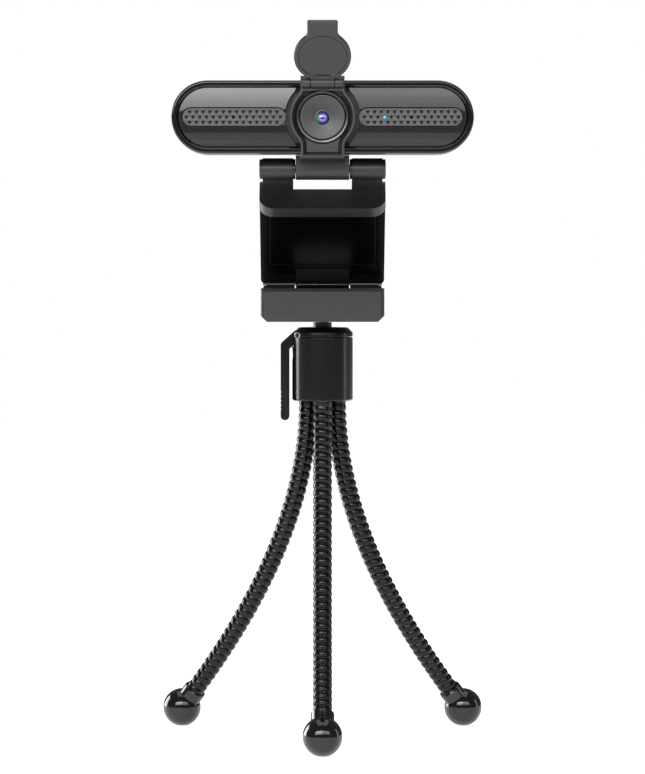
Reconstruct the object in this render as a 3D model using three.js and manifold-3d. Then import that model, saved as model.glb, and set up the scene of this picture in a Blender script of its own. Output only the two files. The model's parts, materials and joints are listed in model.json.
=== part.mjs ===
// A webcam on its folding monitor clip, screwed to a small ball-head tripod with three
// gooseneck legs. Millimetres, +Z up; the webcam looks along -Y; the origin is on the
// table, under the middle of the whole object.
import * as THREE from 'three';
import { mergeVertices } from 'three/addons/utils/BufferGeometryUtils.js';
import Module from 'manifold-3d';

const wasm = await Module();
wasm.setup();

// ---------------------------------------------------------------- driving dimensions

const GAP = 0.3; // clearance between neighbouring pieces
const FAR = 99; // a cutting solid's reach past the piece that it cuts

// Webcam: x from its middle, y from the tilt axis, z from the middle of its height.
const CAM = {
  width: 110,
  height: 26.6,
  front: -14.3,
  split: -8.7, // where the bezel meets the rear shell
  back: 8.7,
  backRadius: 5,
  wall: 1.8,
  rim: 2.3, // width of the bezel's rim
  ledge: 4.0, // width of the rim behind the panels
  aboveTiltAxis: 18.5,
};
const PANEL = { front: -14.0, back: -12.2, collarGap: 1.75 };
const CHASSIS = { front: -11.9, back: -10.1, lensHole: 8.5, port: 1.2, post: 2.4 };
const SHELL_SCREW = { shank: 0.9, hole: 1.2, head: 1.9, headDepth: 1.1, recess: 2.2, boss: 2.9 };
const GLAND = { bore: 1.9, hole: 3.3, sleeve: 3, tip: 2.7, flange: 4.2, reach: 3.2 };
const CAPSULE = { radius: 2, depth: 1.6 };
const LIGHT = { x: 22.64, radius: 0.8, hole: 1.1 };
const GRILLE = { length: 37.8, height: 6.6, x: 32.1, front: -13.0 };
const COLLAR = {
  radius: 12,
  bandHalf: 8,
  front: -17.5,
  floor: -15.3,
  rim: 1.1,
  bottom: -15,
  bandTop: 10.2,
  saddleTop: 14.9,
  saddleFront: -16.3,
  saddleBack: 2.8,
  lipBack: -13,
  plugTrim: 10.6, // half the height of the plug between the panels
  bore: 9.9,
};
const LENS = {
  ringBore: 8.5,
  ringRadius: 9.6,
  cone: 7.6,
  coneRadius: 8.1,
  coneFront: -13.8,
  radius: 2.4,
  front: -7.7,
  barrel: 4.2,
  barrelBack: -1.2,
};
const SCREW_PLACES = [
  ['shell_screw_1', 44, 4.5],
  ['shell_screw_2', 44, -4.5],
  ['shell_screw_3', -44, 4.5],
  ['shell_screw_4', -44, -4.5],
];

// Privacy shutter: drawn closed, hanging from its hinge in front of the collar.
const SHUTTER = {
  hingeY: -18.5,
  hingeZ: 12.2,
  knuckle: 1.9,
  pin: 0.6,
  bore: 0.9,
  centreHalf: 4.3,
  earFrom: 4.6,
  earTo: 7.3,
  disc: 10.3,
  discDown: 11.2,
  recess: 9.0,
  baseHalf: 5.8,
  tabHalf: 5.5,
  length: 26,
  outer: -1.1, // outer and inner face, from the hinge axis
  inner: 0.7,
  openAngle: THREE.MathUtils.degToRad(145),
};

// Tilt barrel that joins the webcam to the clip.
const BARREL = {
  radius: 4,
  axle: 1.5,
  bore: 1.8,
  neckHalf: 9.8,
  earFrom: 10.8,
  earTo: 22,
  capTo: 23.2,
  capRadius: 3.6,
  washer: 3.3,
};

// Clip plate: y and z from the tilt axis, along and across the plate.
const PLATE = {
  half: 23.2,
  front: 8,
  back: 56,
  top: 4,
  bottom: -2.9,
  lipBack: 12.3,
  lipBottom: -12.6,
  lipCorner: 5.5,
  wall: 3,
  padDepth: 1.6,
  armHalf: 3,
  slotHalf: 10.8,
  slotBack: 15.5,
  slotFloor: -2.2,
  blockHalf: 10,
  blockFront: 48,
  hingeY: 57,
  hingeZ: -8,
  slope: THREE.MathUtils.degToRad(46),
};

// Clip leg: y and z from the fold hinge's axis.
const LEG = {
  half: 22.6,
  front: -43.8,
  top: 2.8,
  bottom: -9.4,
  heelY: -12,
  knuckle: 4,
  bore: 1.8,
  pin: 1.5,
  earFrom: 10.4,
  earTo: 21.2,
  capTo: 22.3,
  notchFront: -10.6,
  padHalf: 20.3,
  padFront: -41.6,
  padBack: -13.5,
  padRadius: 3,
  padDepth: 1.2,
  chamfer: 2.2,
  corner: 4,
  floor: 2.4,
  boss: 7.2,
  screwY: -24,
};

// Tripod: z from the table.
const HEAD = {
  radius: 11.2,
  bottom: 124.2,
  top: 151.3,
  capBottom: 147.6,
  chamfer: 2,
  mouth: 6.4,
  socket: 8.1,
  ballRadius: 7.8,
  ballZ: 141.3,
  plugTop: 128,
  shoe: 1.9,
};
const SEAT = { bore: 3.2, radius: 7.7, bottom: 131.6, top: 136.4 };
const CAMERA_SCREW = {
  radius: 3.1,
  neck: 3.4,
  core: 1.8,
  top: 160.9,
  base: 153.54,
  sink: 3.4, // how far above the ball's centre its hole starts
};
const INSERT_RADIUS = 5;
const LEVER = {
  pivotX: -9.4,
  pivotZ: 148.3,
  eye: 1.9,
  pin: 0.8,
  bore: 1.1,
  elbowX: -12.2,
  elbowZ: 143.8,
  thickness: 3.2,
  half: 3,
  bottom: 117,
  slotX: -7.1,
  slotZ: 144.3,
};
const NECK = { radius: 3.55, sides: 5, steps: 14 };
const NECK_PATH = [[6, 120.3], [6, 84.5], [26, 48.5], [58, 11]]; // r and z of a Bezier curve
const FOOT = { radius: 7.2, r: 61.5, z: 6.9 };
const LEG_ANGLES = { front: -90, right: 30, left: 150 };

// The rear feet reach less far back than the front foot reaches forward, so the middle
// of the whole object lies in front of the tripod's axis by half the difference.
const REAR_REACH = FOOT.r * Math.sin(THREE.MathUtils.degToRad(LEG_ANGLES.right));
const CENTRE_SHIFT = (FOOT.r - REAR_REACH) / 2;

// ---------------------------------------------------------------- finishes

const finish = (color, roughness, metalness = 0) =>
  new THREE.MeshStandardMaterial({ color, roughness, metalness });

const GLOSS_BLACK = finish(0x1d1e20, 0.12);
const SATIN_GREY = finish(0x525457, 0.38);
const SHELL_GREY = finish(0x303134, 0.55);
const GRILLE_GREY = finish(0x4a4b4e, 0.7);
const CLIP_BLACK = finish(0x343538, 0.5);
const TRIPOD_BLACK = finish(0x26272a, 0.35);
const RUBBER = finish(0x17181a, 0.6);
const STEEL = finish(0xb8babd, 0.3, 1);
const BLACK_STEEL = finish(0x2e2f32, 0.35, 1);
const BRASS = finish(0xc9a35a, 0.35, 1);
const LENS_GLASS = finish(0x24204a, 0.05);
const BOARD_GREEN = finish(0x14532d, 0.6);
const LIGHT_BLUE = finish(0x288cff, 0.3);
const SENSOR = finish(0x3a3f4a, 0.2);

// ---------------------------------------------------------------- solids

function solid(geometry) {
  const bare = geometry.clone();
  bare.deleteAttribute('normal');
  bare.deleteAttribute('uv');
  const merged = mergeVertices(bare, 1e-4);
  const place = merged.attributes.position;
  const corner = [new THREE.Vector3(), new THREE.Vector3(), new THREE.Vector3()];
  const triangles = [];
  let volume = 0;
  for (let i = 0; i < merged.index.count; i += 3) {
    const abc = [0, 1, 2].map((k) => merged.index.getX(i + k));
    if (new Set(abc).size < 3) continue;
    abc.forEach((vertex, k) => corner[k].fromBufferAttribute(place, vertex));
    volume += corner[0].dot(corner[1].clone().cross(corner[2]));
    triangles.push(abc);
  }
  const facingOut = volume > 0 ? triangles : triangles.map(([a, b, c]) => [a, c, b]);
  return new wasm.Manifold(
    new wasm.Mesh({
      numProp: 3,
      vertProperties: new Float32Array(place.array),
      triVerts: new Uint32Array(facingOut.flat()),
    }),
  );
}

const join = (first, ...others) => others.reduce((a, b) => a.add(b), first);
const cut = (first, ...others) => others.reduce((a, b) => a.subtract(b), first);

function box(x0, x1, y0, y1, z0, z1) {
  const geometry = new THREE.BoxGeometry(x1 - x0, y1 - y0, z1 - z0);
  geometry.translate((x0 + x1) / 2, (y0 + y1) / 2, (z0 + z1) / 2);
  return solid(geometry);
}

// A shape drawn in x and z, between two depths along y.
function acrossY(shape, y0, y1, segments = 5) {
  const options = { depth: y1 - y0, bevelEnabled: false, curveSegments: segments };
  const geometry = new THREE.ExtrudeGeometry(shape, options);
  geometry.rotateX(Math.PI / 2);
  geometry.translate(0, y1, 0);
  return solid(geometry);
}

// A shape drawn in x and y, between two heights along z.
function acrossZ(shape, z0, z1, segments = 2) {
  const options = { depth: z1 - z0, bevelEnabled: false, curveSegments: segments };
  const geometry = new THREE.ExtrudeGeometry(shape, options);
  geometry.translate(0, 0, z0);
  return solid(geometry);
}

// A shape drawn in y and z, between two places along x.
function acrossX(shape, x0, x1, segments = 4) {
  const options = { depth: x1 - x0, bevelEnabled: false, curveSegments: segments };
  const geometry = new THREE.ExtrudeGeometry(shape, options);
  const [x, y, z] = [[1, 0, 0], [0, 1, 0], [0, 0, 1]].map((v) => new THREE.Vector3(...v));
  geometry.applyMatrix4(new THREE.Matrix4().makeBasis(y, z, x));
  geometry.translate(x0, 0, 0);
  return solid(geometry);
}

// A profile of [radius, place along the axis] turned about y, x or z.
function turned(profile, axis = 'z', sides = 20) {
  const points = profile.map(([r, along]) => new THREE.Vector2(r, along));
  const geometry = new THREE.LatheGeometry(points, sides);
  if (axis === 'z') geometry.rotateX(Math.PI / 2);
  if (axis === 'x') geometry.rotateZ(-Math.PI / 2);
  return solid(geometry);
}

const rod = (radius, from, to, axis, sides) =>
  turned([[0, from], [radius, from], [radius, to], [0, to]], axis, sides);

const tube = (bore, radius, from, to, axis, sides) => {
  const ring = [[bore, from], [radius, from], [radius, to], [bore, to], [bore, from]];
  return turned(ring, axis, sides);
};

function stadium(width, height) {
  const r = height / 2;
  const straight = width / 2 - r;
  const shape = new THREE.Shape();
  shape.absarc(straight, 0, r, -Math.PI / 2, Math.PI / 2);
  shape.absarc(-straight, 0, r, Math.PI / 2, 1.5 * Math.PI);
  shape.closePath();
  return shape;
}

function roundedRectangle(x0, x1, y0, y1, r) {
  const shape = new THREE.Shape();
  shape.absarc(x1 - r, y0 + r, r, -Math.PI / 2, 0);
  shape.absarc(x1 - r, y1 - r, r, 0, Math.PI / 2);
  shape.absarc(x0 + r, y1 - r, r, Math.PI / 2, Math.PI);
  shape.absarc(x0 + r, y0 + r, r, Math.PI, 1.5 * Math.PI);
  shape.closePath();
  return shape;
}

// Two distances from the middle, on the side that the sign gives, in rising order.
const onSide = (sign, a, b) => [sign * a, sign * b].sort((p, q) => p - q);

const outline = (points) => new THREE.Shape(points.map(([u, v]) => new THREE.Vector2(u, v)));

function piece(parent, name, body, material) {
  const mesh = body.getMesh();
  const geometry = new THREE.BufferGeometry();
  geometry.setAttribute('position', new THREE.BufferAttribute(mesh.vertProperties, 3));
  geometry.setIndex(new THREE.BufferAttribute(mesh.triVerts, 1));
  geometry.computeVertexNormals();
  const object = new THREE.Mesh(geometry, material);
  object.name = name;
  parent.add(object);
}

// ---------------------------------------------------------------- webcam

// A stadium body whose back edge is rounded and whose front is cut square.
function roundBacked(inset, front, back) {
  const r = CAM.backRadius - inset;
  const [width, height] = [CAM.width - 2 * inset, CAM.height - 2 * inset];
  const geometry = new THREE.ExtrudeGeometry(stadium(width - 2 * r, height - 2 * r), {
    depth: back - front - r,
    bevelThickness: r,
    bevelSize: r,
    bevelSegments: 2,
    curveSegments: 5,
  });
  geometry.rotateX(Math.PI / 2);
  geometry.translate(0, back - r, 0);
  return solid(geometry).subtract(box(-FAR, FAR, front - 2 * r - 9, front, -FAR, FAR));
}

function rearShell(parent) {
  let shell = roundBacked(0, CAM.split + GAP, CAM.back);
  shell = shell.subtract(roundBacked(CAM.wall, CAM.split - 1, CAM.back - CAM.wall));
  for (const [, x, z] of SCREW_PLACES) {
    const boss = rod(SHELL_SCREW.boss, CAM.split + 3, CAM.back - 1, 'y', 8);
    const hole = rod(SHELL_SCREW.hole, CAM.split, CAM.back + 1, 'y', 8);
    const recess = rod(SHELL_SCREW.recess, CAM.back - 1.6, CAM.back + 1, 'y', 8);
    shell = shell.add(boss.translate(x, 0, z));
    shell = cut(shell, hole.translate(x, 0, z), recess.translate(x, 0, z));
  }
  shell = shell.subtract(rod(GLAND.hole, CAM.back - 3, CAM.back + 1, 'y', 16));
  piece(parent, 'rear_shell', shell, SHELL_GREY);

  const { shank, head, headDepth } = SHELL_SCREW;
  const tip = CHASSIS.back - 1;
  const neck = CAM.back - 1.3;
  const top = neck + headDepth;
  const profile = [[0, tip], [shank, tip], [shank, neck], [head, neck], [head, top], [0, top]];
  for (const [name, x, z] of SCREW_PLACES) {
    piece(parent, name, turned(profile, 'y', 10).translate(x, 0, z), STEEL);
  }
  // The cable's gland is a flanged bush held by the shell's wall, with an open bore.
  const flange = CAM.back - CAM.wall - GAP;
  const { bore, sleeve, reach } = GLAND;
  const gland = [
    [bore, flange - 1], [GLAND.flange, flange - 1], [GLAND.flange, flange], [sleeve, flange],
    [sleeve, CAM.back + 0.4], [GLAND.tip, CAM.back + reach], [bore, CAM.back + reach],
    [bore, flange - 1],
  ];
  piece(parent, 'cable_gland', turned(gland, 'y', 16), RUBBER);
}

function frontBezel(parent) {
  const ring = (inset) => stadium(CAM.width - 2 * inset, CAM.height - 2 * inset);
  const outer = acrossY(ring(0), CAM.front, CAM.split);
  const opening = acrossY(ring(CAM.rim), CAM.front - 1, CHASSIS.back + GAP);
  const ledge = acrossY(ring(CAM.ledge), CAM.front - 1, CAM.split + 1);
  piece(parent, 'front_bezel', cut(outer, opening, ledge), GLOSS_BLACK);

  let chassis = acrossY(ring(CAM.rim + GAP), CHASSIS.front, CHASSIS.back);
  chassis = chassis.subtract(rod(CHASSIS.lensHole, CHASSIS.front - 1, CHASSIS.back + 1, 'y', 24));
  for (const x of [-GRILLE.x, GRILLE.x, LIGHT.x]) {
    const port = rod(CHASSIS.port, CHASSIS.front - 1, CHASSIS.back + 1, 'y', 10);
    chassis = chassis.subtract(port.translate(x, 0, 0));
  }
  for (const [, x, z] of SCREW_PLACES) {
    const post = rod(CHASSIS.post, CHASSIS.back - 0.5, CAM.split + 2.7, 'y', 12);
    const hole = rod(SHELL_SCREW.hole, CHASSIS.back - 1.3, CAM.split + 9, 'y', 10);
    chassis = chassis.add(post.translate(x, 0, z)).subtract(hole.translate(x, 0, z));
  }
  piece(parent, 'chassis_plate', chassis, SHELL_GREY);
}

// The collar's outline: a disc around the lens joined to an upright band.
function collarSolid(grow, y0, y1, bottom, top) {
  const half = COLLAR.bandHalf + grow;
  const disc = rod(COLLAR.radius + grow, y0, y1, 'y', 24);
  const band = box(-half, half, y0, y1, bottom, top);
  return disc.add(band).intersect(box(-FAR, FAR, -2 * FAR, 2 * FAR, bottom, top));
}

function facePanels(parent) {
  const inset = CAM.rim + GAP;
  const face = stadium(CAM.width - 2 * inset, CAM.height - 2 * inset);
  const around = collarSolid(PANEL.collarGap, -FAR, FAR, -FAR, FAR);
  const blank = acrossY(face, PANEL.front, PANEL.back).subtract(around);
  for (const [side, sign] of [['left', -1], ['right', 1]]) {
    const half = sign > 0 ? box(0, FAR, -FAR, FAR, -FAR, FAR) : box(-FAR, 0, -FAR, FAR, -FAR, FAR);
    const slot = stadium(GRILLE.length + 2 * GAP, GRILLE.height + 2 * GAP);
    const window = acrossY(slot, -FAR, FAR).translate(sign * GRILLE.x, 0, 0);
    const panel = blank.intersect(half).subtract(window);
    piece(parent, `${side}_face_panel`, panel, GLOSS_BLACK);

    const strip = acrossY(stadium(GRILLE.length, GRILLE.height), GRILLE.front, PANEL.back);
    const lightHole = rod(LIGHT.hole, -FAR, FAR, 'y', 10).translate(LIGHT.x, 0, 0);
    const grille = strip.translate(sign * GRILLE.x, 0, 0).subtract(lightHole);
    piece(parent, `${side}_mic_grille`, grille, GRILLE_GREY);

    const behind = CHASSIS.back + GAP;
    const capsule = rod(CAPSULE.radius, behind, behind + CAPSULE.depth, 'y', 12);
    piece(parent, `${side}_mic_capsule`, capsule.translate(sign * GRILLE.x, 0, 0), STEEL);
  }
}

function lensCollar(parent) {
  const saddleFloor = CAM.height / 2 + GAP;
  const faceGap = CAM.front - GAP;
  const half = COLLAR.bandHalf;
  const shield = collarSolid(0, COLLAR.front, faceGap, COLLAR.bottom, COLLAR.bandTop);
  const plug = rod(COLLAR.radius - 0.5, faceGap - 1, PANEL.back, 'y', 24);
  const plugTrim = box(-FAR, FAR, -FAR, FAR, -COLLAR.plugTrim, COLLAR.plugTrim);
  const upright = box(
    -half, half, COLLAR.saddleFront, faceGap, COLLAR.bandTop - 1, COLLAR.saddleTop,
  );
  const saddle = box(
    -half, half, COLLAR.saddleFront, COLLAR.saddleBack, saddleFloor, COLLAR.saddleTop,
  );
  const lip = box(-half, half, COLLAR.front, COLLAR.lipBack, COLLAR.bottom, -saddleFloor);
  const pocket = collarSolid(
    -COLLAR.rim, -FAR, COLLAR.floor, COLLAR.bottom + COLLAR.rim, COLLAR.bandTop - COLLAR.rim,
  );
  const bore = rod(COLLAR.bore, -FAR, -11, 'y', 24);
  let collar = join(shield, plug.intersect(plugTrim), upright, saddle, lip);
  collar = cut(collar, pocket, bore);

  const { knuckle, hingeY, hingeZ, earFrom, earTo } = SHUTTER;
  for (const sign of [-1, 1]) {
    const [x0, x1] = onSide(sign, earFrom, earTo);
    const eye = rod(knuckle, x0, x1, 'x', 14).translate(0, hingeY, hingeZ);
    const arm = box(
      x0, x1, hingeY, COLLAR.saddleFront + 1, hingeZ - knuckle, hingeZ + knuckle,
    );
    collar = join(collar, eye, arm);
  }
  const pinHole = rod(SHUTTER.bore, -COLLAR.bandHalf, COLLAR.bandHalf, 'x', 12);
  collar = collar.subtract(pinHole.translate(0, hingeY, hingeZ));
  piece(parent, 'lens_collar', collar, SATIN_GREY);

  const pin = rod(SHUTTER.pin, 0.4 - earTo, earTo - 0.4, 'x', 10);
  piece(parent, 'shutter_pin', pin.translate(0, hingeY, hingeZ), BLACK_STEEL);
}

function lensTrain(parent) {
  const { ringBore, ringRadius, cone, coneRadius, coneFront, radius, front } = LENS;
  const ring = tube(ringBore, ringRadius, COLLAR.floor - GAP, PANEL.back, 'y', 24);
  piece(parent, 'lens_ring', ring, SATIN_GREY);

  const funnelBack = front - 0.2;
  const funnel = [
    [cone, coneFront], [coneRadius, coneFront], [coneRadius, coneFront + 1.6],
    [3.6, funnelBack], [2.5, funnelBack], [cone, coneFront],
  ];
  piece(parent, 'lens_baffle_cone', turned(funnel, 'y', 24), GLOSS_BLACK);

  const dome = [[0, front - 0.5], [1.4, front - 0.3], [radius, front + 0.2]];
  const lensBack = front + 1.2;
  const glass = turned([...dome, [radius, lensBack], [0, lensBack]], 'y', 24);
  piece(parent, 'front_lens', glass, LENS_GLASS);

  const { barrel, barrelBack } = LENS;
  const [barrelFront, seat] = [front + 0.2, radius + GAP];
  const sleeve = [
    [seat, barrelFront], [barrel, barrelFront], [barrel, barrelBack], [1.8, barrelBack],
    [1.8, lensBack + GAP], [seat, lensBack + GAP], [seat, barrelFront],
  ];
  piece(parent, 'lens_barrel', turned(sleeve, 'y', 20), CLIP_BLACK);

  const holder = cut(
    box(-6.5, 6.5, -5, 0.6, -6.5, 6.5),
    rod(barrel + GAP, -9, -0.9, 'y', 20),
    box(-4, 4, -0.9, 1, -4, 4),
  );
  piece(parent, 'lens_holder', holder, CLIP_BLACK);
  piece(parent, 'image_sensor', box(-3, 3, -0.6, 0.2, -2.3, 2.3), SENSOR);
  piece(parent, 'sensor_board', box(-12, 12, 0.9, 2.1, -8, 8), BOARD_GREEN);
  piece(parent, 'main_board', box(-40, 40, 3.2, 4.4, -9, 9), BOARD_GREEN);
  const pipe = rod(LIGHT.radius, GRILLE.front + 0.1, 2.9, 'y', 10);
  piece(parent, 'status_light', pipe.translate(LIGHT.x, 0, 0), LIGHT_BLUE);
}

// The neck under the webcam ends in the barrel's middle knuckle.
function neckBlock(parent) {
  const top = CAM.aboveTiltAxis - CAM.height / 2 - GAP;
  const { neckHalf, radius, bore } = BARREL;
  const knuckle = rod(radius, -neckHalf, neckHalf, 'x', 16);
  const stem = box(-neckHalf, neckHalf, -radius, radius, 0, top);
  const tongue = box(-COLLAR.bandHalf, COLLAR.bandHalf, -12.7, 0, top - 1.7, top);
  const hole = rod(bore, -FAR, FAR, 'x', 14);
  piece(parent, 'neck_block', cut(join(knuckle, stem, tongue), hole), SATIN_GREY);
}

function shutter(parent) {
  const { knuckle, centreHalf, disc, discDown, recess, tabHalf, length } = SHUTTER;
  const { outer, inner } = SHUTTER;
  const clear = knuckle + 0.4;
  const plate = join(
    rod(disc, outer, inner, 'y', 20).translate(0, 0, -discDown),
    box(-SHUTTER.baseHalf, SHUTTER.baseHalf, outer, inner, -discDown, -clear),
    box(-centreHalf, centreHalf, outer, inner, -clear - 1, 0),
    box(-tabHalf, tabHalf, outer, inner, -length, -discDown),
    rod(knuckle, -centreHalf, centreHalf, 'x', 14),
  );
  const dish = rod(recess, inner - 0.7, inner + 1, 'y', 20).translate(0, 0, -discDown);
  const hole = rod(SHUTTER.bore, -FAR, FAR, 'x', 12);
  // Only the middle knuckle may reach into the space between the collar's two ears.
  const ears = [-1, 1].map((sign) => {
    const [x0, x1] = onSide(sign, centreHalf, 9);
    return box(x0, x1, -9, 9, -clear, clear);
  });
  piece(parent, 'shutter_cover', cut(plate, dish, hole, ...ears), SATIN_GREY);
}

function webcam(parent) {
  const head = new THREE.Group();
  head.position.z = CAM.aboveTiltAxis;
  parent.add(head);
  rearShell(head);
  frontBezel(head);
  facePanels(head);
  lensCollar(head);
  lensTrain(head);
  neckBlock(parent);

  const cover = new THREE.Group();
  cover.position.set(0, SHUTTER.hingeY, SHUTTER.hingeZ);
  cover.rotation.x = -SHUTTER.openAngle;
  head.add(cover);
  shutter(cover);
}

// ---------------------------------------------------------------- clip

function tiltBarrel(parent) {
  const { axle, capRadius, earFrom, earTo, capTo, neckHalf, bore } = BARREL;
  piece(parent, 'tilt_axle', rod(axle, GAP - earTo, earTo - GAP, 'x', 14), BLACK_STEEL);
  for (const [side, sign] of [['left', -1], ['right', 1]]) {
    const cap = rod(capRadius, ...onSide(sign, earTo + GAP, capTo), 'x', 16);
    piece(parent, `${side}_tilt_cap`, cap, CLIP_BLACK);
    const between = onSide(sign, neckHalf + 0.25, earFrom - 0.25);
    const washer = tube(bore, BARREL.washer, ...between, 'x', 16);
    piece(parent, `${side}_friction_washer`, washer, BLACK_STEEL);
  }
}

function clipPlate(parent) {
  const P = PLATE;
  const deckFront = P.front + P.top;
  const deck = new THREE.Shape();
  deck.moveTo(P.front, P.lipBottom);
  deck.lineTo(P.lipBack, P.lipBottom);
  deck.lineTo(P.lipBack, P.bottom);
  deck.lineTo(P.back, P.bottom);
  deck.lineTo(P.back, P.top - 1);
  deck.lineTo(P.back - 1, P.top);
  deck.lineTo(deckFront, P.top);
  deck.absarc(deckFront, 0, P.top, Math.PI / 2, Math.PI);
  deck.closePath();
  const lipOutline = roundedRectangle(-P.half, P.half, P.lipBottom, 20, P.lipCorner);
  const trayHalf = P.half - P.wall;
  const [trayFront, trayBack] = [P.slotBack + 2, P.back - 10];
  let plate = acrossX(deck, -P.half, P.half).intersect(acrossY(lipOutline, 0, FAR, 3));
  plate = cut(
    plate,
    box(-P.slotHalf, P.slotHalf, 0, P.slotBack, P.slotFloor, FAR),
    box(-trayHalf, trayHalf, trayFront, trayBack, -FAR, P.top - 2.2),
  );
  for (const sign of [-1, 1]) {
    const [x0, x1] = onSide(sign, BARREL.earFrom, BARREL.earTo);
    const [p0, p1] = onSide(sign, 13, FAR);
    const ear = rod(BARREL.radius, x0, x1, 'x', 16);
    const arm = box(x0, x1, 0, P.front + 1, -P.armHalf, P.armHalf);
    const pocket = box(p0, p1, BARREL.radius + 0.6, P.front - 0.2, -1.4, 1.4);
    plate = join(plate, ear, arm).subtract(pocket);
  }
  const heel = acrossX(
    outline([
      [P.blockFront, P.bottom + 1], [P.blockFront, P.bottom], [P.hingeY - 4, P.hingeZ],
      [P.hingeY, P.hingeZ], [P.hingeY, P.bottom + 1],
    ]),
    -P.blockHalf, P.blockHalf,
  );
  const knuckle = rod(LEG.knuckle, -P.blockHalf, P.blockHalf, 'x', 16);
  const hole = rod(LEG.bore, -FAR, FAR, 'x', 14);
  plate = join(plate, heel, knuckle.translate(0, P.hingeY, P.hingeZ));
  plate = cut(plate, rod(BARREL.bore, -FAR, FAR, 'x', 14), hole.translate(0, P.hingeY, P.hingeZ));
  piece(parent, 'clip_plate', plate, CLIP_BLACK);

  const pad = roundedRectangle(
    -trayHalf + GAP, trayHalf - GAP, trayFront + GAP, trayBack - GAP, 1,
  );
  piece(parent, 'plate_pad', acrossZ(pad, P.bottom, P.bottom + P.padDepth), RUBBER);
}

function clipLeg(parent) {
  const L = LEG;
  const side = outline([
    [L.front, L.bottom + 1], [L.front + 1, L.bottom], [L.heelY, L.bottom], [0, -L.knuckle],
    [0, L.knuckle], [-L.knuckle, L.top], [L.front + 1, L.top], [L.front, L.top - 1],
  ]);
  let leg = acrossX(side, -L.half, L.half);
  const end = new THREE.Shape();
  end.moveTo(-L.half, L.bottom + L.chamfer);
  end.lineTo(-L.half + L.chamfer, L.bottom);
  end.lineTo(L.half - L.chamfer, L.bottom);
  end.lineTo(L.half, L.bottom + L.chamfer);
  end.lineTo(L.half, L.knuckle + 1);
  end.lineTo(-L.half, L.knuckle + 1);
  const plan = roundedRectangle(-L.half, L.half, L.front, 30, L.corner);
  leg = leg.intersect(acrossY(end, -FAR, FAR)).intersect(acrossZ(plan, -FAR, FAR, 3));

  const padShape = (grow) => roundedRectangle(
    -L.padHalf - grow, L.padHalf + grow, L.padFront - grow, L.padBack + grow, L.padRadius,
  );
  const hollow = roundedRectangle(
    -L.padHalf + 1.5, L.padHalf - 1.5, L.padFront + 1.5, L.padBack - 1.5, 2,
  );
  leg = leg.subtract(acrossZ(padShape(GAP), L.top - L.padDepth - GAP, FAR));
  leg = leg.subtract(acrossZ(hollow, L.bottom + L.floor, FAR));
  const boss = rod(L.boss, L.bottom + 1, L.top - 2.5, 'z', 20);
  const insertHole = rod(INSERT_RADIUS + GAP, -FAR, L.top - 4.3, 'z', 20);
  leg = leg.add(boss.translate(0, L.screwY, 0));
  leg = leg.subtract(insertHole.translate(0, L.screwY, 0));

  // Ears on both sides of the plate's knuckle; the middle is notched to let it turn.
  const notchHalf = PLATE.blockHalf + GAP;
  leg = leg.subtract(box(-notchHalf, notchHalf, L.notchFront, FAR, -FAR, FAR));
  for (const sign of [-1, 1]) {
    const [x0, x1] = onSide(sign, L.earFrom, L.earTo);
    const [s0, s1] = onSide(sign, L.earTo, FAR);
    const ear = rod(L.knuckle, x0, x1, 'x', 16);
    leg = leg.add(ear).subtract(box(s0, s1, -L.knuckle - GAP, FAR, -FAR, FAR));
  }
  leg = leg.subtract(rod(L.bore, -FAR, FAR, 'x', 14));
  piece(parent, 'clip_leg', leg, CLIP_BLACK);
  piece(parent, 'leg_pad', acrossZ(padShape(0), L.top - L.padDepth, L.top), GLOSS_BLACK);
  const pin = rod(L.pin, GAP - L.earTo, L.earTo - GAP, 'x', 14);
  piece(parent, 'leg_hinge_pin', pin, BLACK_STEEL);
  for (const [name, sign] of [['left_hinge_cap', -1], ['right_hinge_cap', 1]]) {
    const cap = rod(L.knuckle - 0.3, ...onSide(sign, L.earTo + GAP, L.capTo), 'x', 16);
    piece(parent, name, cap, CLIP_BLACK);
  }
  const thread = CAMERA_SCREW.radius + GAP;
  const insert = tube(thread, INSERT_RADIUS, L.bottom + 0.2, L.top - 4.8, 'z', 20);
  piece(parent, 'thread_insert', insert.translate(0, L.screwY, 0), BRASS);
}

// ---------------------------------------------------------------- tripod

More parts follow.
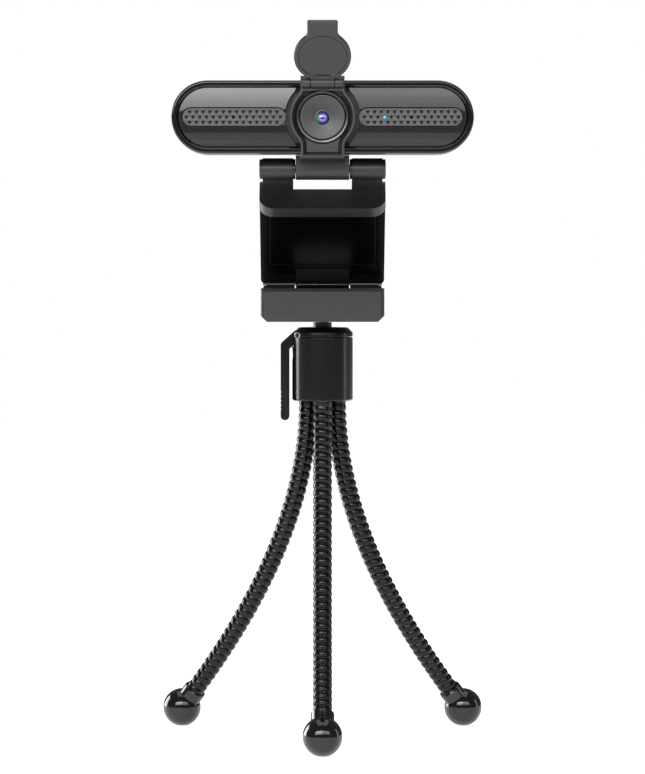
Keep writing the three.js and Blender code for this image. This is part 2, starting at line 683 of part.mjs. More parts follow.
function ballHead(parent) {
  const H = HEAD;
  const socketArc = [];
  const mouthAngle = Math.acos(H.mouth / H.socket);
  for (let i = 0; i <= 4; i += 1) {
    const angle = mouthAngle * (1 - i / 4);
    socketArc.push([H.socket * Math.cos(angle), H.ballZ + H.socket * Math.sin(angle)]);
  }
  const bodyTop = H.capBottom;
  const profile = [
    [H.mouth, bodyTop], ...socketArc,
    [H.socket, H.bottom], [H.radius - 0.6, H.bottom], [H.radius, H.bottom + 0.6],
    [H.radius, bodyTop], [H.mouth, bodyTop],
  ];
  let body = turned(profile, 'z', 24);
  const cap = [
    [H.mouth, bodyTop + GAP], [H.radius, bodyTop + GAP], [H.radius, H.top - H.chamfer],
    [H.radius - H.chamfer, H.top], [H.mouth + 0.6, H.top], [H.mouth, H.top - 0.6],
    [H.mouth, bodyTop + GAP],
  ];
  const slotHalf = LEVER.half + GAP;
  const slot = box(-FAR, LEVER.slotX, -slotHalf, slotHalf, LEVER.slotZ, 2 * FAR);
  const pinHole = rod(LEVER.bore, -FAR, FAR, 'y', 10).translate(LEVER.pivotX, 0, LEVER.pivotZ);
  const shoeHole = rod(H.shoe + GAP, -FAR, -5, 'x', 12).translate(0, 0, H.ballZ);
  body = cut(body, slot, pinHole, shoeHole);
  piece(parent, 'head_body', body, TRIPOD_BLACK);
  piece(parent, 'head_cap', cut(turned(cap, 'z', 24), slot, pinHole), TRIPOD_BLACK);
  piece(parent, 'base_plug', rod(H.socket - GAP, H.bottom, H.plugTop, 'z', 24), TRIPOD_BLACK);
  const shoe = rod(H.shoe, 0.2 - H.radius, -H.socket - 0.2, 'x', 12);
  piece(parent, 'brake_shoe', shoe.translate(0, 0, H.ballZ), RUBBER);
  const seat = [
    [SEAT.bore, SEAT.bottom], [SEAT.radius, SEAT.bottom], [SEAT.radius, SEAT.top],
    [SEAT.radius - 1.1, SEAT.top], [SEAT.radius - 2.5, SEAT.top - 1.5],
    [SEAT.bore, SEAT.bottom + 2], [SEAT.bore, SEAT.bottom],
  ];
  piece(parent, 'ball_seat', turned(seat, 'z', 16), RUBBER);
}

function ballAndScrew(parent) {
  const { ballRadius, ballZ } = HEAD;
  const { neck, core, radius, top, base, sink } = CAMERA_SCREW;
  const neckTop = base - GAP - 0.04;
  const sphere = new THREE.SphereGeometry(ballRadius, 18, 10);
  sphere.rotateX(Math.PI / 2);
  sphere.translate(0, 0, ballZ);
  const flat = box(-FAR, FAR, -FAR, FAR, ballZ - FAR, ballZ - 6.2);
  const ball = cut(
    solid(sphere).add(rod(neck, ballZ, neckTop, 'z', 20)),
    flat,
    rod(core + GAP, ballZ + sink, 2 * FAR, 'z', 14),
  );
  piece(parent, 'ball', ball, BLACK_STEEL);
  const screw = [
    [0, ballZ + sink + GAP], [core, ballZ + sink + GAP], [core, base - 0.04], [radius, base - 0.04],
    [radius, top - 0.8], [radius - 0.8, top], [0, top],
  ];
  piece(parent, 'camera_screw', turned(screw, 'z', 20), STEEL);
}

function lockLever(parent) {
  const V = LEVER;
  const arm = outline([
    [V.elbowX, V.elbowZ], [V.elbowX, V.bottom + 1], [V.elbowX - 1, V.bottom],
    [V.elbowX - V.thickness + 1, V.bottom], [V.elbowX - V.thickness, V.bottom + 1],
    [V.elbowX - V.thickness, V.elbowZ + 1.4], [V.pivotX - 1.2, V.pivotZ + 1.5],
    [V.pivotX + 1.2, V.pivotZ - 1.5],
  ]);
  const lever = join(
    acrossY(arm, -V.half, V.half),
    rod(V.eye, -V.half, V.half, 'y', 16).translate(V.pivotX, 0, V.pivotZ),
  );
  const hole = rod(V.bore, -FAR, FAR, 'y', 10).translate(V.pivotX, 0, V.pivotZ);
  piece(parent, 'lock_lever', lever.subtract(hole), TRIPOD_BLACK);
  const reach = Math.sqrt(HEAD.radius ** 2 - V.pivotX ** 2) - 0.4;
  const pin = rod(V.pin, -reach, reach, 'y', 10).translate(V.pivotX, 0, V.pivotZ);
  piece(parent, 'lever_pin', pin, BLACK_STEEL);
}

// Drawn in the x and z plane, pointing along +x, then turned to the leg's own angle.
function tripodLeg(parent, side, degrees) {
  const controls = NECK_PATH.map(([r, z]) => new THREE.Vector3(r, 0, z));
  const path = new THREE.CubicBezierCurve3(...controls);
  const circle = new THREE.Shape();
  circle.absarc(0, 0, NECK.radius, 0, 2 * Math.PI);
  const run = new THREE.ExtrudeGeometry(circle, {
    extrudePath: path,
    steps: NECK.steps,
    curveSegments: NECK.sides,
    bevelEnabled: false,
  });
  const top = new THREE.SphereGeometry(NECK.radius, 10, 6);
  top.rotateX(Math.PI / 2);
  top.translate(controls[0].x, 0, controls[0].z);
  const leg = solid(run).add(solid(top));

  const end = path.getPoint(1);
  const along = path.getTangent(1);
  const hole = new THREE.CylinderGeometry(NECK.radius + GAP, NECK.radius + GAP, 24, 12);
  hole.translate(0, 12 - GAP, 0);
  const turn = new THREE.Quaternion();
  turn.setFromUnitVectors(new THREE.Vector3(0, 1, 0), along.negate());
  hole.applyQuaternion(turn);
  hole.translate(end.x, end.y, end.z);
  const sphere = new THREE.SphereGeometry(FOOT.radius, 18, 10);
  sphere.rotateX(Math.PI / 2);
  sphere.translate(FOOT.r, 0, FOOT.z);
  const foot = cut(solid(sphere), solid(hole), box(-FAR, FAR, -FAR, FAR, -FAR, 0));

  const turnedLeg = new THREE.Group();
  turnedLeg.rotation.z = THREE.MathUtils.degToRad(degrees);
  parent.add(turnedLeg);
  piece(turnedLeg, `gooseneck_${side}`, leg, TRIPOD_BLACK);
  piece(turnedLeg, `foot_${side}`, foot, GLOSS_BLACK);
}

// ---------------------------------------------------------------- assembly

const webcamOnTripod = new THREE.Group();
webcamOnTripod.position.y = CENTRE_SHIFT;

ballHead(webcamOnTripod);
ballAndScrew(webcamOnTripod);
lockLever(webcamOnTripod);
for (const [side, degrees] of Object.entries(LEG_ANGLES)) {
  tripodLeg(webcamOnTripod, side, degrees);
}

// The clip leg lies level on the camera screw; its fold hinge is behind the screw.
const legGroup = new THREE.Group();
legGroup.position.set(0, -LEG.screwY, CAMERA_SCREW.base - LEG.bottom);
webcamOnTripod.add(legGroup);
clipLeg(legGroup);

// The plate slopes up and forward from that hinge to the tilt axis.
const foldGroup = new THREE.Group();
foldGroup.rotation.x = -PLATE.slope;
legGroup.add(foldGroup);
const plateGroup = new THREE.Group();
plateGroup.position.set(0, -PLATE.hingeY, -PLATE.hingeZ);
foldGroup.add(plateGroup);
tiltBarrel(plateGroup);
clipPlate(plateGroup);

// The webcam stands level on the tilt axis.
const webcamGroup = new THREE.Group();
webcamGroup.rotation.x = PLATE.slope;
plateGroup.add(webcamGroup);
webcam(webcamGroup);

export default webcamOnTripod;
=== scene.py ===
"""A webcam on its folding monitor clip, on a small ball-head tripod with gooseneck legs.

Each piece is drawn in millimetres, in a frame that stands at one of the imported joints, and
is then placed in the shared frame in metres.
"""

import json
import math

import bmesh
import bpy
from mathutils import Matrix, Vector


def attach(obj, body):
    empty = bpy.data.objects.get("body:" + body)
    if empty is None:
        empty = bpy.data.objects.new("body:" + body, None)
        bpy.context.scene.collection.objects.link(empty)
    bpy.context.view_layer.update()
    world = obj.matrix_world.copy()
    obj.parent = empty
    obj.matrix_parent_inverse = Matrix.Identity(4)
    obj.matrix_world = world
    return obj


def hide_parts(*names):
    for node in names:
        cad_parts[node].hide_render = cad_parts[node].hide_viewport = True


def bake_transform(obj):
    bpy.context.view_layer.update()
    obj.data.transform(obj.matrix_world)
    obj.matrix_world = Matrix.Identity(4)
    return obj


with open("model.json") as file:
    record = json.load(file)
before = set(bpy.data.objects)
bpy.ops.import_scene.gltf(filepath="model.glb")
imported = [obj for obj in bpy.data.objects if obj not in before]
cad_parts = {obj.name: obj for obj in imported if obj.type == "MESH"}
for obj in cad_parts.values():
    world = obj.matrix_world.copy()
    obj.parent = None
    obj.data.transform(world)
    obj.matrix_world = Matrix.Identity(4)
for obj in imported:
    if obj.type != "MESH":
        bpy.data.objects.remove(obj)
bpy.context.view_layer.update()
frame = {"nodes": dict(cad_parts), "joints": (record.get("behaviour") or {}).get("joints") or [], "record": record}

MM = 0.001
JOINTS = {j["name"]: j for j in frame["joints"]}
SCENE = bpy.context.scene


# ------------------------------------------------------------------ frames

def at(joint, x=0.0, y=0.0, z=0.0, tilt=0.0):
    """The frame at a joint, moved by millimetres and then turned about x by degrees."""
    place = Vector(JOINTS[joint]["pos_m"]) + Vector((x, y, z)) * MM
    return Matrix.Translation(place) @ Matrix.Rotation(math.radians(tilt), 4, "X")


PLATE_SLOPE = 46  # the clip's plate is drawn level, and slopes down backwards at rest
CAM_LIFT = 18.5  # from the tilt axis up to the middle of the webcam
SHUTTER_OPEN = 145  # the cover is drawn shut, and stands open by this much at rest
CAM = at("webcam_tilt", z=CAM_LIFT)
NECK = at("webcam_tilt")
COVER = at("shutter_flip", tilt=-SHUTTER_OPEN)
PLATE = at("webcam_tilt", tilt=-PLATE_SLOPE)
LEG = at("clip_fold")
BALL = at("ball_pan")
BALL_Z = BALL.translation.z / MM
TRIPOD = at("ball_pan", z=-BALL_Z)
LEVER = at("lever_swing")


# ------------------------------------------------------------------ mesh tools

def scratch(name, mesh):
    obj = bpy.data.objects.new(name, mesh)
    SCENE.collection.objects.link(obj)
    return obj


def closed_up(mesh, reach):
    """Joins points that are within reach of each other and turns the faces outwards."""
    bm = bmesh.new()
    bm.from_mesh(mesh)
    bmesh.ops.remove_doubles(bm, verts=bm.verts, dist=reach)
    bmesh.ops.recalc_face_normals(bm, faces=bm.faces)
    bm.to_mesh(mesh)
    bm.free()
    return mesh


def loft(name, loops, closed=False):
    """Skins a list of loops with the same number of points; caps the ends, or joins them."""
    count = len(loops[0])
    verts = [p for loop in loops for p in loop]
    faces = []
    rounds = len(loops) if closed else len(loops) - 1
    for i in range(rounds):
        a, b = i * count, (i + 1) % len(loops) * count
        for k in range(count):
            m = (k + 1) % count
            faces.append((a + k, a + m, b + m, b + k))
    if not closed:
        last = (len(loops) - 1) * count
        faces.append(tuple(range(count)))
        faces.append(tuple(range(last + count - 1, last - 1, -1)))
    mesh = bpy.data.meshes.new(name)
    mesh.from_pydata(verts, [], faces)
    return scratch(name, closed_up(mesh, 1e-5))


# Where a point lies that is r from an axis and s along it, in the rim's direction c.
AXES = {
    "x": lambda r, s, c: (s, r * c[0], r * c[1]),
    "y": lambda r, s, c: (r * c[0], s, r * c[1]),
    "z": lambda r, s, c: (r * c[0], r * c[1], s),
}


def circle(n):
    return [(math.cos(2 * math.pi * k / n), math.sin(2 * math.pi * k / n)) for k in range(n)]


def turned(name, profile, axis="z", sides=96, ring=False):
    """A profile of (radius, place along the axis); a ring's profile closes on itself."""
    rim = circle(sides)
    loops = [[AXES[axis](r, s, c) for c in rim] for r, s in profile]
    return loft(name, loops, closed=ring)


def rod(radius, a, b, axis="z", sides=64):
    return turned("rod", [(radius, a), (radius, b)], axis, sides)


def moved(obj, x=0.0, y=0.0, z=0.0):
    obj.data.transform(Matrix.Translation((x, y, z)))
    return obj


def bore(radius, reach, axis="x", sides=32, **place):
    """A cutter for a hole that runs along an axis and as far both ways."""
    return moved(rod(radius, -reach, reach, axis, sides), **place)


def span(sign, near, far):
    """The low and high end of a stretch that lies on one side of the middle."""
    return sorted((sign * near, sign * far))


# How the plane of an outline turns when the outline is drawn out along each axis.
TURNS = {
    "x": Matrix(((0, 0, 1, 0), (1, 0, 0, 0), (0, 1, 0, 0), (0, 0, 0, 1))),
    "y": Matrix(((1, 0, 0, 0), (0, 0, 1, 0), (0, 1, 0, 0), (0, 0, 0, 1))),
    "z": Matrix.Identity(4),
}


def slab(name, outlines, low, high, axis="y", bevel=0.0, steps=3):
    """Closed outlines (the first is the outside, the rest are holes) made into a plate."""
    curve = bpy.data.curves.new(name, "CURVE")
    curve.dimensions = "2D"
    curve.fill_mode = "BOTH"
    for i, points in enumerate(outlines):
        turn = sum(a[0] * b[1] - b[0] * a[1] for a, b in zip(points, points[1:] + points[:1]))
        if (turn > 0) != (i == 0):
            points = points[::-1]
        spline = curve.splines.new("POLY")
        spline.points.add(len(points) - 1)
        for k, (u, v) in enumerate(points):
            spline.points[k].co = (u, v, 0, 1)
        spline.use_cyclic_u = True
    curve.extrude = (high - low) / 2 - bevel
    curve.bevel_depth = bevel
    curve.bevel_resolution = steps
    curve.offset = -bevel
    source = scratch(name, curve)
    bpy.context.view_layer.update()
    graph = bpy.context.evaluated_depsgraph_get()
    mesh = bpy.data.meshes.new_from_object(source.evaluated_get(graph))
    bpy.data.objects.remove(source)
    mesh.transform(Matrix.Translation((0, 0, (low + high) / 2)))
    mesh.transform(TURNS[axis])
    return scratch(name, closed_up(mesh, 1e-4))


def block(x0, x1, y0, y1, z0, z1):
    corners = [(x0, z0), (x1, z0), (x1, z1), (x0, z1)]
    return slab("block", [corners], y0, y1)


def applied(obj):
    """Replaces an object's mesh by what its modifiers make of it."""
    bpy.context.view_layer.update()
    graph = bpy.context.evaluated_depsgraph_get()
    obj.data = bpy.data.meshes.new_from_object(obj.evaluated_get(graph))
    obj.modifiers.clear()
    return obj


def combined(obj, others, operation):
    for other in others:
        step = obj.modifiers.new("boolean", "BOOLEAN")
        step.operation = operation
        step.solver = "EXACT"
        step.object = other
        applied(obj)
        bpy.data.objects.remove(other)
    return obj


def join(obj, *others):
    return combined(obj, others, "UNION")


def cut(obj, *others):
    return combined(obj, others, "DIFFERENCE")


def both(obj, *others):
    return combined(obj, others, "INTERSECT")


def softened(obj, width, steps=3, angle=32):
    """Rounds every sharp edge."""
    bm = bmesh.new()
    bm.from_mesh(obj.data)
    bmesh.ops.remove_doubles(bm, verts=bm.verts, dist=2e-3)
    bmesh.ops.dissolve_limit(
        bm, angle_limit=math.radians(0.5), verts=bm.verts, edges=bm.edges,
    )
    bm.to_mesh(obj.data)
    bm.free()
    bevel = obj.modifiers.new("bevel", "BEVEL")
    bevel.width = width
    bevel.segments = steps
    bevel.limit_method = "ANGLE"
    bevel.angle_limit = math.radians(angle)
    bevel.miter_outer = "MITER_ARC"
    return applied(obj)


def piece(obj, name, place, body, material, slot, *nodes, smooth=32):
    """Places a finished mesh in the row frame and hands it to its body."""
    obj.name = name
    obj.data.name = name
    obj.data.transform(place @ Matrix.Scale(MM, 4))
    obj.data.materials.clear()
    obj.data.materials.append(material)
    obj.data.polygons.foreach_set("use_smooth", [True] * len(obj.data.polygons))
    obj.data.set_sharp_from_angle(angle=math.radians(smooth))
    weighted = obj.modifiers.new("weighted_normals", "WEIGHTED_NORMAL")
    weighted.keep_sharp = True
    if body:
        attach(obj, body)
    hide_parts(*nodes)
    return obj


def paint_on_faces(obj, material, place, inside):
    """Paints a second material on the faces that a test picks by their centre and normal, in mm: here painted
    shade in the jaw and a painted highlight on the bead.
    """
    obj.data.materials.append(material)
    back = (place @ Matrix.Scale(MM, 4)).inverted()
    turn = place.to_3x3().inverted()
    for face in obj.data.polygons:
        if inside(back @ face.center, turn @ face.normal):
            face.material_index = len(obj.data.materials) - 1


# ------------------------------------------------------------------ outlines

def arc(cx, cy, r, start, end, steps):
    angles = [math.radians(start + (end - start) * k / steps) for k in range(steps + 1)]
    return [(cx + r * math.cos(a), cy + r * math.sin(a)) for a in angles]


def stadium(width, height, steps=32, x=0.0):
    r = height / 2
    straight = width / 2 - r
    left = arc(x - straight, 0, r, 90, 270, steps)
    return arc(x + straight, 0, r, -90, 90, steps) + left


def rounded(x0, x1, y0, y1, r, steps=8):
    return (
        arc(x1 - r, y0 + r, r, -90, 0, steps)
        + arc(x1 - r, y1 - r, r, 0, 90, steps)
        + arc(x0 + r, y1 - r, r, 90, 180, steps)
        + arc(x0 + r, y0 + r, r, 180, 270, steps)
    )


def disc(r, x=0.0, y=0.0, steps=24):
    return arc(x, y, r, 0, 360 - 360 / steps, steps - 1)


def filleted_disc(radius, half, fillet, centre, end):
    """The right-hand side of a disc that runs on, through a fillet, into an upright band.

    Points go from the middle of the disc's side to the band's end, which is at `end`.
    """
    across = half + fillet
    rise = math.sqrt((radius + fillet) ** 2 - across ** 2)
    sign = 1 if end > centre else -1
    touch = math.degrees(math.atan2(rise, across))
    on_disc = arc(0, 0, radius, 0, touch, 16)
    on_fillet = arc(across, rise, fillet, 180 + touch, 180, 8)
    side = [(u, centre + sign * v) for u, v in on_disc + on_fillet[1:]]
    return side + [(half, end)]


COLLAR = {"radius": 12, "band": 8, "fillet": 4, "bottom": -15, "top": 10.4}


def collar_outline(grow=0.0, bottom=None, top=None):
    radius, half = COLLAR["radius"] + grow, COLLAR["band"] + grow
    fillet = COLLAR["fillet"] - grow
    low = COLLAR["bottom"] - grow if bottom is None else bottom
    high = COLLAR["top"] + grow if top is None else top
    # The band runs up past its fillet, and is then cut off where the outline ends.
    upper = filleted_disc(radius, half, fillet, 0, max(high, 11))
    lower = filleted_disc(radius, half, fillet, 0, low)
    right = lower[::-1] + upper[1:]
    right = [(u, min(v, high)) for u, v in right]
    return right + [(-u, v) for u, v in reversed(right)]


# ------------------------------------------------------------------ materials

def plastic(name, color, roughness, grain=0.0, grain_size=0.12, mottle=0.06, specular=0.5):
    """Moulded plastic: a fine moulded grain, faint tone and gloss variation, worn edges."""
    material = bpy.data.materials.new(name)
    material.use_nodes = True
    nodes, links = material.node_tree.nodes, material.node_tree.links
    shader = nodes["Principled BSDF"]
    shader.inputs["Specular IOR Level"].default_value = specular

    place = nodes.new("ShaderNodeTexCoord")
    broad = nodes.new("ShaderNodeTexNoise")
    broad.inputs["Scale"].default_value = 90
    broad.inputs["Detail"].default_value = 5
    links.new(place.outputs["Object"], broad.inputs["Vector"])

    tone = nodes.new("ShaderNodeMix")
    tone.data_type = "RGBA"
    tone.inputs["A"].default_value = (*[c * (1 - mottle) for c in color], 1)
    tone.inputs["B"].default_value = (*[c * (1 + mottle) for c in color], 1)
    links.new(broad.outputs["Fac"], tone.inputs["Factor"])

    edge = nodes.new("ShaderNodeNewGeometry")
    wear = nodes.new("ShaderNodeMapRange")
    wear.inputs["From Min"].default_value = 0.53
    wear.inputs["From Max"].default_value = 0.62
    wear.inputs["To Max"].default_value = 0.35
    links.new(edge.outputs["Pointiness"], wear.inputs["Value"])
    worn = nodes.new("ShaderNodeMix")
    worn.data_type = "RGBA"
    worn.inputs["B"].default_value = (*[min(1, c * 1.7 + 0.01) for c in color], 1)
    links.new(wear.outputs["Result"], worn.inputs["Factor"])
    links.new(tone.outputs["Result"], worn.inputs["A"])
    links.new(worn.outputs["Result"], shader.inputs["Base Color"])

    gloss = nodes.new("ShaderNodeMapRange")
    gloss.inputs["To Min"].default_value = roughness * 0.88
    gloss.inputs["To Max"].default_value = roughness * 1.12
    links.new(broad.outputs["Fac"], gloss.inputs["Value"])
    links.new(gloss.outputs["Result"], shader.inputs["Roughness"])

    if grain:
        fine = nodes.new("ShaderNodeTexVoronoi")
        fine.inputs["Scale"].default_value = 1 / (grain_size * MM)
        links.new(place.outputs["Object"], fine.inputs["Vector"])
        bump = nodes.new("ShaderNodeBump")
        bump.inputs["Strength"].default_value = grain
        bump.inputs["Distance"].default_value = 0.02 * MM
        links.new(fine.outputs["Distance"], bump.inputs["Height"])
        links.new(bump.outputs["Normal"], shader.inputs["Normal"])
    return material


def metal(name, color, roughness):
    """Turned metal: a very fine grain, as the tool leaves it."""
    material = plastic(name, color, roughness, mottle=0.12)
    nodes, links = material.node_tree.nodes, material.node_tree.links
    shader = nodes["Principled BSDF"]
    shader.inputs["Metallic"].default_value = 1
    place = nodes.new("ShaderNodeTexCoord")
    fine = nodes.new("ShaderNodeTexNoise")
    fine.inputs["Scale"].default_value = 4000
    links.new(place.outputs["Object"], fine.inputs["Vector"])
    bump = nodes.new("ShaderNodeBump")
    bump.inputs["Strength"].default_value = 0.2
    bump.inputs["Distance"].default_value = 0.01 * MM
    links.new(fine.outputs["Fac"], bump.inputs["Height"])
    links.new(bump.outputs["Normal"], shader.inputs["Normal"])
    return material


def painted_lens_reflection(centre):
    """Painted reflection and glow: a violet-blue ring, darkest in the middle, with a painted green highlight at
    its left rim; the colour also glows faintly.
    """
    material = bpy.data.materials.new("lens_painted_reflection")
    material.use_nodes = True
    nodes, links = material.node_tree.nodes, material.node_tree.links
    shader = nodes["Principled BSDF"]
    shader.inputs["Roughness"].default_value = 0.03
    shader.inputs["Coat Weight"].default_value = 1
    shader.inputs["Coat Roughness"].default_value = 0.02
    place = nodes.new("ShaderNodeTexCoord")
    from_centre = nodes.new("ShaderNodeVectorMath")
    from_centre.operation = "SUBTRACT"
    from_centre.inputs[1].default_value = centre
    links.new(place.outputs["Object"], from_centre.inputs[0])
    flat = nodes.new("ShaderNodeVectorMath")
    flat.operation = "MULTIPLY"
    flat.inputs[1].default_value = (1, 0, 1)
    links.new(from_centre.outputs["Vector"], flat.inputs[0])
    radius = nodes.new("ShaderNodeVectorMath")
    radius.operation = "LENGTH"
    links.new(flat.outputs["Vector"], radius.inputs[0])
    scaled = nodes.new("ShaderNodeMapRange")
    scaled.inputs["From Max"].default_value = 2.4 * MM
    links.new(radius.outputs["Value"], scaled.inputs["Value"])
    ramp = nodes.new("ShaderNodeValToRGB")
    stops = ramp.color_ramp.elements
    stops[0].color = (0.002, 0.002, 0.006, 1)
    stops[1].color = (0.01, 0.012, 0.05, 1)
    for position, color in (
        (0.26, (0.008, 0.006, 0.03, 1)),
        (0.36, (0.16, 0.10, 0.55, 1)),
        (0.62, (0.07, 0.05, 0.30, 1)),
        (0.80, (0.02, 0.03, 0.12, 1)),
    ):
        stops.new(position).color = color
    links.new(scaled.outputs["Result"], ramp.inputs["Fac"])
    split = nodes.new("ShaderNodeSeparateXYZ")
    links.new(flat.outputs["Vector"], split.inputs["Vector"])
    # Painted highlight: a green tint that grows towards the lens's left rim.
    left_rim_highlight = nodes.new("ShaderNodeMapRange")
    left_rim_highlight.inputs["From Min"].default_value = -1.0 * MM
    left_rim_highlight.inputs["From Max"].default_value = -1.9 * MM
    left_rim_highlight.inputs["To Max"].default_value = 0.8
    links.new(split.outputs["X"], left_rim_highlight.inputs["Value"])
    green = nodes.new("ShaderNodeMix")
    green.data_type = "RGBA"
    green.inputs["B"].default_value = (0.05, 0.22, 0.07, 1)
    links.new(left_rim_highlight.outputs["Result"], green.inputs["Factor"])
    links.new(ramp.outputs["Color"], green.inputs["A"])
    links.new(green.outputs["Result"], shader.inputs["Base Color"])
    # The lens colour also glows faintly, as painted light, though the lens is no lamp.
    links.new(green.outputs["Result"], shader.inputs["Emission Color"])
    shader.inputs["Emission Strength"].default_value = 0.12
    return material


def glowing(name, color, strength):
    material = plastic(name, color, 0.25)
    shader = material.node_tree.nodes["Principled BSDF"]
    shader.inputs["Emission Color"].default_value = (*color, 1)
    shader.inputs["Emission Strength"].default_value = strength
    return material


GLOSS = plastic("gloss_black", (0.003, 0.003, 0.0034), 0.08, mottle=0.15, specular=0.4)
PANEL = plastic("gloss_panel", (0.010, 0.010, 0.011), 0.05, mottle=0.12)
SATIN = plastic("satin_grey", (0.011, 0.011, 0.0122), 0.36, grain=0.25, specular=0.4)
SHELL = plastic("matte_shell", (0.014, 0.014, 0.015), 0.42, grain=0.35)
GRILLE = plastic("grille_grey", (0.028, 0.028, 0.030), 0.42, grain=0.3)
CLIP = plastic("matte_clip", (0.0058, 0.0058, 0.0064), 0.40, grain=0.35, specular=0.4)
HEAD_PLASTIC = plastic("soft_touch", (0.0022, 0.0022, 0.0025), 0.22, grain=0.12, specular=0.22)
COIL = plastic("coil_black", (0.0012, 0.0012, 0.0014), 0.2, mottle=0.15, specular=0.22)
CONE = plastic("baffle_black", (0.032, 0.032, 0.033), 0.36)
# Glossy dark trim: the real finish of the lens ring, also used on the jaw's crease bead as a painted highlight.
RING_AND_BEAD_HIGHLIGHT = plastic("polished_ring_and_bead_highlight", (0.014, 0.014, 0.015), 0.14)
RUBBER = plastic("rubber", (0.004, 0.004, 0.0045), 0.6, grain=0.5, grain_size=0.2)
# Near-black with almost no shine: the upper jaw pad and the faces inside the jaw, darkened as painted shade where
# the jaw lies in shadow.
PAD_AND_PAINTED_SHADE = plastic("jaw_pad", (0.0008, 0.0008, 0.0009), 0.3, specular=0.08)
BOARD = plastic("circuit_board", (0.01, 0.09, 0.03), 0.5, grain=0.4, grain_size=0.6)
SENSOR = plastic("sensor", (0.04, 0.05, 0.07), 0.15)
STEEL = metal("turned_steel", (0.50, 0.51, 0.53), 0.28)
BLACK_STEEL = metal("black_steel", (0.03, 0.03, 0.033), 0.3)
BRASS = metal("turned_brass", (0.60, 0.42, 0.16), 0.3)
BLUE = glowing("status_blue", (0.01, 0.22, 1.0), 2.2)

SLOT_MATERIALS = {
    "gloss_black": GLOSS, "satin_grey": SATIN, "shell_grey": SHELL, "grille_grey": GRILLE,
    "clip_black": CLIP, "tripod_black": HEAD_PLASTIC, "rubber_black": RUBBER, "steel": STEEL,
    "black_steel": BLACK_STEEL, "brass": BRASS, "lens_glass": SENSOR, "light_blue": BLUE,
    "board_green": BOARD, "sensor_glass": SENSOR,
}
SHADED_BEHIND_GRILLES = ("chassis_plate", "left_mic_capsule", "right_mic_capsule")


def dress_cad_nodes():
    """Gives each CAD node its slot's material; the parts behind the grilles get black rubber instead, as painted
    shade that keeps the holes dark.
    """
    for row in frame["record"]["subparts"]:
        node = frame["nodes"][row["node"]]
        node.data.materials.clear()
        dark = row["node"] in SHADED_BEHIND_GRILLES
        node.data.materials.append(RUBBER if dark else SLOT_MATERIALS[row["material_slot"]])


# ------------------------------------------------------------------ webcam

WIDTH, HEIGHT = 110, 26.6
FRONT, SPLIT, BACK = -14.3, -8.7, 8.7  # along y: the bezel's face, its seam, the back
BACK_RADIUS = 5
RIM = 2.6
PANEL_BACK = -12.3
LENS_FRONT = -7.7
GRILLE_SIZE = (37.8, 6.6)
GRILLE_X = 32.1
HOLE_RADIUS, HOLE_PITCH = 0.56, 2.44
# Each row of holes: its height, how many holes it has, and where its innermost one is.
HOLE_ROWS = [(-1.9, 14, 16.5), (0, 15, 15.28), (1.9, 14, 16.5)]
LIGHT_HOLE = 3  # the status light fills this hole of the middle row
SHUTTER_AXIS = {"y": -18.5, "z": 12.2}
SHUTTER_BORE, SHUTTER_KNUCKLE = 0.85, 1.9
AXLE_BORE = 1.8
SCREWS = [(44, 4.5), (44, -4.5), (-44, 4.5), (-44, -4.5)]


def ring_of(inset, y):
    return [(u, y, v) for u, v in stadium(WIDTH - 2 * inset, HEIGHT - 2 * inset)]


def rear_shell():
    rounding = []
    for k in range(13):
        a = math.radians(90 * k / 12)
        inset = BACK_RADIUS * (1 - math.cos(a))
        rounding.append((inset, BACK - BACK_RADIUS + BACK_RADIUS * math.sin(a)))
    front = SPLIT + 0.25
    section = [(1.8, -6), (1.8, front), (0.5, front), (0.15, front + 0.12), (0, front + 0.5)]
    shell = loft("rear_shell", [ring_of(i, y) for i, y in section + rounding])
    for x, z in SCREWS:
        shell = cut(shell, moved(rod(2.2, BACK - 1.6, BACK + 2, "y", 40), x, 0, z))
    shell = cut(shell, rod(3.3, BACK - 1.8, BACK + 2, "y", 48))
    # Two shallow rows of vent slots in the back, clear of the screws and the gland.
    for sign in (-1, 1):
        for k in range(4):
            x = sign * (14 + 5 * k)
            vent = slab("vent", [stadium(7, 1.3, 8)], -0.5, 0.5, "z")
            vent.data.transform(Matrix.Rotation(math.radians(90), 4, "X"))
            vent.data.transform(Matrix.Rotation(math.radians(90), 4, "Y"))
            shell = cut(shell, moved(vent, x, BACK, 0))
    shell = softened(shell, 0.18, 2, 50)
    piece(shell, "shell_rear", CAM, "webcam", SHELL, "shell_grey", "rear_shell")

    for k, (x, z) in enumerate(SCREWS, 1):
        top = BACK - 0.25
        head = turned("screw", [
            (0.9, top - 4), (0.9, top - 1.2), (1.7, top - 1.2), (1.85, top - 1.0),
            (1.85, top - 0.45), (1.6, top - 0.15), (1.1, top),
        ], "y", 40)
        cross = [block(-1.15, 1.15, top - 0.7, top + 1, -0.2, 0.2),
                 block(-0.2, 0.2, top - 0.7, top + 1, -1.15, 1.15)]
        head = moved(cut(head, *cross), x, 0, z)
        piece(head, f"back_screw_{k}", CAM, "webcam", STEEL, "steel", f"shell_screw_{k}")

    end = BACK + 3.2
    gland = turned("gland", [
        (1.9, BACK - 1.6), (3.1, BACK - 1.6), (3.1, BACK + 0.3), (3.0, BACK + 0.5),
        (2.8, BACK + 1.1), (2.95, BACK + 1.4), (2.7, BACK + 2.0), (2.85, BACK + 2.3),
        (2.6, end - 0.3), (2.4, end), (2.1, end), (1.9, end - 0.25),
    ], "y", 64, ring=True)
    piece(gland, "gland_sleeve", CAM, "webcam", RUBBER, "rubber_black", "cable_gland")


